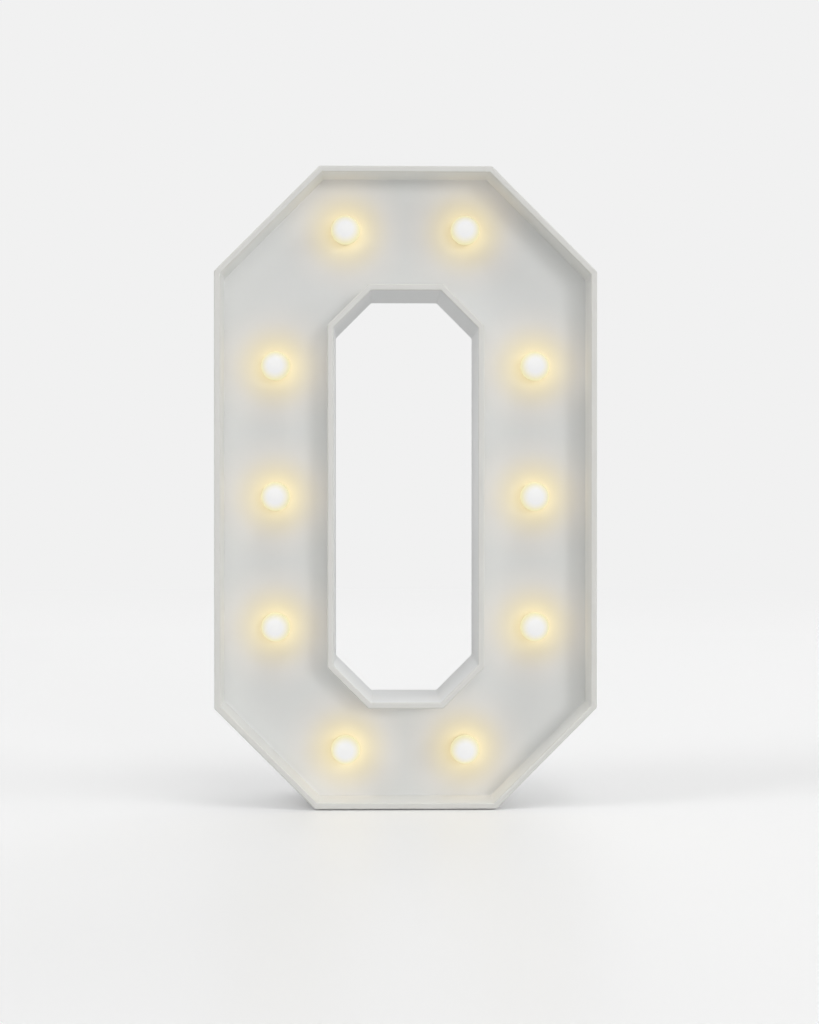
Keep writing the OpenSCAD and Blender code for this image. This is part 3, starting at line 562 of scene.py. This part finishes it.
# Drawn spring wire: darker than the plates, with fine lines along the wire.
spring_wire = mottled("drawn_spring_wire", "#8E9092", "#B4B5B6", 0.6, (0.22, 0.38), Metallic=1.0)
for node, name, wide_end in (("link_spring", "link_coil", 0), ("negative_spring", "negative_coil", 1)):
    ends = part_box(node)
    wide_z = ends[wide_end].z + (spring_wire_r if wide_end == 0 else -spring_wire_r)
    narrow_z = ends[1 - wide_end].z + (-spring_wire_r if wide_end == 0 else spring_wire_r)
    middle = Vector((cell_xs[wide_end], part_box("battery_1")[0].y / 2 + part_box("battery_1")[1].y / 2, 0))
    knots = []
    for i in range(spring_turns * knots_a_turn + 1):
        share = i / (spring_turns * knots_a_turn)
        turn = 2 * math.pi * i / knots_a_turn
        radius = spring_wide_r + share * (spring_narrow_r - spring_wide_r)
        knots.append(middle + Vector((radius * math.cos(turn), radius * math.sin(turn),
                                      wide_z + share * (narrow_z - wide_z))))
    add_path(name, knots, spring_wire_r, spring_wire, "housing", "spring_steel", node)

# Cells: two AA cells in a plain printed film sleeve, grey-green with one pale band near the button's end.
# The film is shrunk over both ends, which are nickel-plated steel.
cell_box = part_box("battery_1")
cell_l = cell_box[1].z - cell_box[0].z
cell_r = (cell_box[1].x - cell_box[0].x) / 2
button_r = 2.7 * MM
button_h = 1.0 * MM
button_edge = 0.4 * MM
film_edge = 0.6 * MM
film_lip_r = 5.6 * MM
flat_end_r = 5.0 * MM
flat_end_sink = 0.2 * MM
band_start = 9.0 * MM
band_l = 3.0 * MM

bm = bmesh.new()
vert = line_to(bm, bm.verts.new((0, cell_l, 0)), (button_r - button_edge, cell_l, 0))
vert = arc_to(bm, vert, (button_r - button_edge, cell_l - button_edge, 0), -math.pi / 2, 5)
shoulder_y = cell_l - button_h
steel_y = shoulder_y - film_edge / 2
vert = line_to(bm, vert, (button_r, steel_y, 0), (film_lip_r, steel_y, 0),
               (film_lip_r, shoulder_y, 0), (cell_r - film_edge, shoulder_y, 0))
vert = arc_to(bm, vert, (cell_r - film_edge, shoulder_y - film_edge, 0), -math.pi / 2, 6)
band_high = cell_l - band_start
band_low = band_high - band_l
vert = line_to(bm, vert, (cell_r, band_high, 0), (cell_r, band_low, 0), (cell_r, film_edge, 0))
vert = arc_to(bm, vert, (cell_r - film_edge, film_edge, 0), -math.pi / 2, 6)
line_to(bm, vert, (flat_end_r, 0, 0), (flat_end_r, flat_end_sink, 0), (0, flat_end_sink, 0))
spin_round(bm)
for face in bm.faces:
    middle = face.calc_center_median()
    bare_r = flat_end_r if middle.y < cell_l / 2 else film_lip_r
    bare = math.hypot(middle.x, middle.z) < bare_r
    face.material_index = 2 if bare else 1 if band_low < middle.y < band_high else 0
cell_shape = bpy.data.meshes.new("cell_shape")
bm.to_mesh(cell_shape)
bm.free()

# Printed film: smooth and glossy, with slight ripples where it shrank.
dark_film = mottled("printed_grey_green_film", "#4F5D58", "#5C6B65", 5.0, (0.22, 0.32), IOR=1.5)
pale_film = mottled("printed_pale_film", "#C4C8C2", "#D0D4CE", 5.0, (0.22, 0.32), IOR=1.5)
for node, turn in (("battery_1", 90), ("battery_2", -90)):
    low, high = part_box(node)
    end = low if turn > 0 else high
    bm = bmesh.new()
    bm.from_mesh(cell_shape)
    bmesh.ops.rotate(bm, verts=bm.verts, matrix=Matrix.Rotation(math.radians(turn), 3, "X"))
    bmesh.ops.translate(bm, verts=bm.verts, vec=((low.x + high.x) / 2, (low.y + high.y) / 2, end.z))
    cell = finished_piece(bm, node.replace("battery", "cell"), dark_film, "housing", "cell_sleeve", node)
    cell.data.materials.append(pale_film)
    cell.data.materials.append(nickel)

# Battery door: white ABS, moulded with its hinge barrel and pins, a thumb tab with grip ridges and a latch
# finger. The pins snap into lugs of the cover. It keeps its CAD shape, with the edges rounded.
door_edge_r = 0.2 * MM
finished_piece(rounded_copy("battery_door", door_edge_r), "door_moulding", white_abs, "door", "white_abs",
               "battery_door")

# Slide switch: a folded steel case with two ears, a phenolic card with three brass blades, two screws into
# the cover and a nylon knob that shows in the finger recess. All keep their CAD shapes, edges rounded.
# Zinc plate: cool pale grey, slightly cloudy.
zinc = mottled("zinc_plated_steel", "#A8ACB0", "#C2C6CA", 1.5, (0.25, 0.42), Metallic=1.0)
# Phenolic paper: brown, with a papery mottle and cut edges.
phenolic = mottled("phenolic_paper", "#5B3219", "#7A4A27", 1.0, (0.45, 0.6), IOR=1.55)
# Brass blades: yellow and a little tarnished.
brass = mottled("stamped_brass", "#B08A3E", "#CBA758", 1.0, (0.22, 0.36), stretch=(1, 0.2, 1), Metallic=1.0)
# Black nylon: matt, with a fine spark-eroded grain, drawn at 0.4 mm so that it shows.
black_nylon = mottled("moulded_black_nylon", "#161617", "#242426", 0.4, (0.42, 0.58), IOR=1.53)
for node, name, radius, material, body, slot in (
        ("switch_case", "switch_can", 0.12 * MM, zinc, "housing", "zinc_steel"),
        ("switch_board", "switch_card", 0.08 * MM, phenolic, "housing", "phenolic_board"),
        ("switch_blades", "switch_tongues", 0.06 * MM, brass, "housing", "terminal_brass"),
        ("switch_screws", "switch_screw_pair", 0.1 * MM, zinc, "housing", "zinc_steel"),
        ("switch_knob", "knob_moulding", 0.12 * MM, black_nylon, "knob", "black_nylon")):
    finished_piece(rounded_copy(node, radius), name, material, body, slot, node)

# Series resistor: a small ceramic rod in tan lacquer with colour bands and tinned tails, soldered to the
# switch's upper blade and lying across the arm.
left_tail_l = 3.75 * MM
right_tail_l = 3.0 * MM
body_start = resistor_low.x + left_tail_l
body_end = resistor_high.x - right_tail_l
body_r = (resistor_high.z - resistor_low.z) / 2
waist_r = 0.95 * MM
bulge_l = 1.5 * MM
crest_start = 0.4 * bulge_l
crest_end = 0.8 * bulge_l
waist_start = 1.2 * bulge_l
cap_r = 0.7 * body_r
cap_l = 0.1 * MM
tail_r = 0.25 * MM
ripple_mm = 0.8

bm = bmesh.new()
vert = bm.verts.new((0, resistor_low.x, 0))
vert = line_to(bm, vert, (tail_r, resistor_low.x, 0), (tail_r, body_start, 0),
               (cap_r, body_start + cap_l, 0),
               (body_r, body_start + crest_start, 0), (body_r, body_start + crest_end, 0),
               (waist_r, body_start + waist_start, 0), (waist_r, body_end - waist_start, 0),
               (body_r, body_end - crest_end, 0), (body_r, body_end - crest_start, 0),
               (cap_r, body_end - cap_l, 0), (tail_r, body_end, 0), (tail_r, resistor_high.x, 0),
               (0, resistor_high.x, 0))
spin_round(bm)
bmesh.ops.rotate(bm, verts=bm.verts, matrix=Matrix.Rotation(math.radians(-90), 3, "Z"))
bmesh.ops.translate(bm, verts=bm.verts, vec=(0, resistor_mid.y, resistor_mid.z))
for face in bm.faces:
    middle = face.calc_center_median()
    face.material_index = 0 if body_start < middle.x < body_end else 1

# Lacquered ceramic: glossy tan, with four bands across it.
lacquer = new_material("lacquered_ceramic")
place = add_node(lacquer, "ShaderNodeTexCoord", {}).outputs["Object"]
along = add_node(lacquer, "ShaderNodeSeparateXYZ", {"Vector": place}).outputs["X"]
share = add_node(lacquer, "ShaderNodeMapRange",
                 {"Value": along, "From Min": body_start, "From Max": body_end})
ramp = add_node(lacquer, "ShaderNodeValToRGB", {"Fac": share.outputs["Result"]})
ramp.color_ramp.interpolation = "CONSTANT"
stops = [(0.0, "#C9AE80"), (0.13, "#7A4A1E"), (0.22, "#C9AE80"), (0.34, "#1B1B1B"), (0.43, "#C9AE80"),
         (0.53, "#7A4A1E"), (0.62, "#C9AE80"), (0.79, "#A67C2A"), (0.88, "#C9AE80")]
while len(ramp.color_ramp.elements) < len(stops):
    ramp.color_ramp.elements.new(1.0)
for element, (position, colour) in zip(ramp.color_ramp.elements, stops):
    element.position = position
    element.color = linear(colour)
ripple = add_node(lacquer, "ShaderNodeTexNoise", {"Vector": place, "Scale": 1000 / ripple_mm})
coat = add_node(lacquer, "ShaderNodeBump",
                {"Height": ripple.outputs["Fac"], "Strength": 0.1, "Distance": skin_height})
surface = add_node(lacquer, "ShaderNodeBsdfPrincipled",
                   {"Base Color": ramp.outputs["Color"], "Roughness": 0.3,
                    "Normal": coat.outputs["Normal"]})
add_node(lacquer, "ShaderNodeOutputMaterial", {"Surface": surface.outputs["BSDF"]})
series = finished_piece(bm, "series_resistor", lacquer, "housing", "resistor_ceramic", "resistor")
series.data.materials.append(tinned)

# Cover screws: six zinc-plated pan-head screws with a cross recess, driven into the shell's posts. Each
# thread is a row of turned ridges, because the pitch is too fine to tell from a helix.
head_r = 2.5 * MM
head_seat_y = 20.0 * MM
head_top_y = 21.6 * MM
head_round = 0.7 * MM
core_r = 1.0 * MM
root_r = 0.75 * MM
tip_y = 10.0 * MM
thread_pitch = 0.8 * MM
cross_half = 1.6 * MM
cross_w = 0.7 * MM
cross_depth = 0.9 * MM

bm = bmesh.new()
vert = bm.verts.new((head_r - head_round, head_top_y, 0))
vert = arc_to(bm, vert, (head_r - head_round, head_top_y - head_round, 0), -math.pi / 2, 6)
vert = line_to(bm, vert, (head_r, head_seat_y, 0), (core_r, head_seat_y, 0))
thread_y = head_seat_y - thread_pitch
while thread_y > tip_y + 2 * thread_pitch:
    vert = line_to(bm, vert, (root_r, thread_y, 0), (core_r, thread_y - thread_pitch / 2, 0))
    thread_y -= thread_pitch
line_to(bm, vert, (root_r, thread_y, 0), (0, tip_y, 0))
spin_round(bm)
rim = [e for e in bm.edges if e.is_boundary]
upright = Matrix.Translation((0, head_top_y, 0)) @ Matrix.Rotation(math.radians(90), 4, "X")
bmesh.ops.create_grid(bm, x_segments=1, y_segments=1, size=cross_w / 2, matrix=upright)
for edge in [e for e in bm.edges if e.is_boundary and e not in rim]:
    way = (edge.verts[0].co + edge.verts[1].co) / 2 - Vector((0, head_top_y, 0))
    made = bmesh.ops.extrude_edge_only(bm, edges=[edge])["geom"]
    verts = [g for g in made if isinstance(g, bmesh.types.BMVert)]
    bmesh.ops.translate(bm, verts=verts, vec=way.normalized() * (cross_half - cross_w / 2))
cross = [f for f in bm.faces if all(abs(v.co.y - head_top_y) < TINY for v in f.verts)]
outline = [e for e in bm.edges if e.is_boundary and e not in rim]
bmesh.ops.triangle_fill(bm, use_beauty=True, edges=rim + outline)
sunk = bmesh.ops.extrude_face_region(bm, geom=cross)["geom"]
bmesh.ops.delete(bm, geom=[f for f in cross if f.is_valid], context="FACES")
recess = [g for g in sunk if isinstance(g, bmesh.types.BMVert)]
bmesh.ops.translate(bm, verts=recess, vec=(0, -cross_depth, 0))
screw_shape = bpy.data.meshes.new("screw_shape")
bm.to_mesh(screw_shape)
bm.free()

bm = bmesh.new()
for p in post_places:
    bm.from_mesh(screw_shape)
    bm.verts.ensure_lookup_table()
    bmesh.ops.translate(bm, verts=bm.verts[-len(screw_shape.vertices):], vec=(p.x, 0, p.z))
finished_piece(bm, "cover_screw_set", zinc, "housing", "zinc_steel", "cover_screws")

# Floor and light: a plain pale floor that fades into a background of the same grey, a compact key lamp low
# on the right in front, a soft box in front, soft strips above and on both sides, and a fill from behind.
floor_half = 6.0
floor_gap = 0.4 * MM
shadow_lift = 0.08
fade_near = 0.5
fade_far = 1.6
backdrop_grey = linear("#F1F1F1")
bm = bmesh.new()
bmesh.ops.create_grid(bm, x_segments=1, y_segments=1, size=floor_half,
                      matrix=Matrix.Translation((0, 0, -floor_gap)))
floor_mesh = bpy.data.meshes.new("floor")
bm.to_mesh(floor_mesh)
bm.free()
floor = bpy.data.objects.new("floor", floor_mesh)
scene.collection.objects.link(floor)

# Satin floor paint: even and pale, with a weak, broad gloss. The camera sees it a little lighter than the
# light that it sends back to the object, and it turns into the background further out.
floor_paint = new_material("pale_floor")
place = add_node(floor_paint, "ShaderNodeTexCoord", {}).outputs["Object"]
away = add_node(floor_paint, "ShaderNodeVectorMath", {0: place}, operation="LENGTH").outputs["Value"]
seen = add_node(floor_paint, "ShaderNodeLightPath", {}).outputs["Is Camera Ray"]
lift = add_node(floor_paint, "ShaderNodeMath", {0: seen, 1: shadow_lift}, operation="MULTIPLY")
fade = add_node(floor_paint, "ShaderNodeMapRange",
                {"Value": away, "From Min": fade_near, "From Max": fade_far, "To Max": seen},
                interpolation_type="SMOOTHSTEP")
paint = add_node(floor_paint, "ShaderNodeMix", {0: seen, 6: linear("#DCDCDC"), 7: linear("#FBFBFB")},
                 data_type="RGBA")
surface = add_node(floor_paint, "ShaderNodeBsdfPrincipled",
                   {"Base Color": paint.outputs[2], "Roughness": 0.35, "Specular IOR Level": 0.15,
                    "Emission Color": backdrop_grey, "Emission Strength": lift.outputs["Value"]})
glow = add_node(floor_paint, "ShaderNodeEmission", {"Color": backdrop_grey})
faded = add_node(floor_paint, "ShaderNodeMixShader",
                 {"Fac": fade.outputs["Result"], 1: surface.outputs["BSDF"], 2: glow.outputs["Emission"]})
add_node(floor_paint, "ShaderNodeOutputMaterial", {"Surface": faded.outputs["Shader"]})
floor_mesh.materials.append(floor_paint)

# Each lamp has the way to it, its spread in degrees and its strength. The low lamps and the fill give no
# gloss, because their streaks on the floor and the flat tops would clip to white in views from behind.
lamps = [("key", (0.4, -1.0, 0.16), 14, 0.48), ("front_box", (0.0, -1.0, 0.1), 30, 0.37),
         ("top_strip", (0.2, -0.4, 1.0), 25, 0.38), ("right_strip", (1.0, -0.4, 0.3), 25, 0.54),
         ("left_strip", (-0.8, -0.4, 0.8), 25, 0.51), ("rear_fill", (0.3, 1.0, 0.5), 40, 0.5)]
for name, way, spread, energy in lamps:
    lamp_data = bpy.data.lights.new(name, "SUN")
    lamp_data.energy = energy
    lamp_data.angle = math.radians(spread)
    lamp = bpy.data.objects.new(name, lamp_data)
    lamp.rotation_euler = Vector(way).to_track_quat("Z", "Y").to_euler()
    lamp.visible_glossy = name in ("top_strip", "left_strip")
    scene.collection.objects.link(lamp)

# The sky is black below and brightens towards the top. The camera, mirrors and glass see the plain grey.
sky_top = 0.7
world = bpy.data.worlds.new("studio")
world.use_nodes = True
world.node_tree.nodes.clear()
scene.world = world
way = add_node(world, "ShaderNodeTexCoord", {}).outputs["Generated"]
height = add_node(world, "ShaderNodeSeparateXYZ", {"Vector": way}).outputs["Z"]
sky_level = add_node(world, "ShaderNodeMapRange", {"Value": height, "To Max": sky_top})
sky = add_node(world, "ShaderNodeBackground",
               {"Color": linear("#FFFFFF"), "Strength": sky_level.outputs["Result"]})
backdrop = add_node(world, "ShaderNodeBackground", {"Color": backdrop_grey, "Strength": 1.0})
rays = add_node(world, "ShaderNodeLightPath", {})
mirror = add_node(world, "ShaderNodeMath",
                  {0: rays.outputs["Is Glossy Ray"], 1: rays.outputs["Is Transmission Ray"]},
                  operation="MAXIMUM")
seen = add_node(world, "ShaderNodeMath", {0: rays.outputs["Is Camera Ray"], 1: mirror.outputs["Value"]},
                operation="MAXIMUM")
mixed = add_node(world, "ShaderNodeMixShader",
                 {"Fac": seen.outputs["Value"], 1: sky.outputs["Background"],
                  2: backdrop.outputs["Background"]})
add_node(world, "ShaderNodeOutputWorld", {"Surface": mixed.outputs["Shader"]})
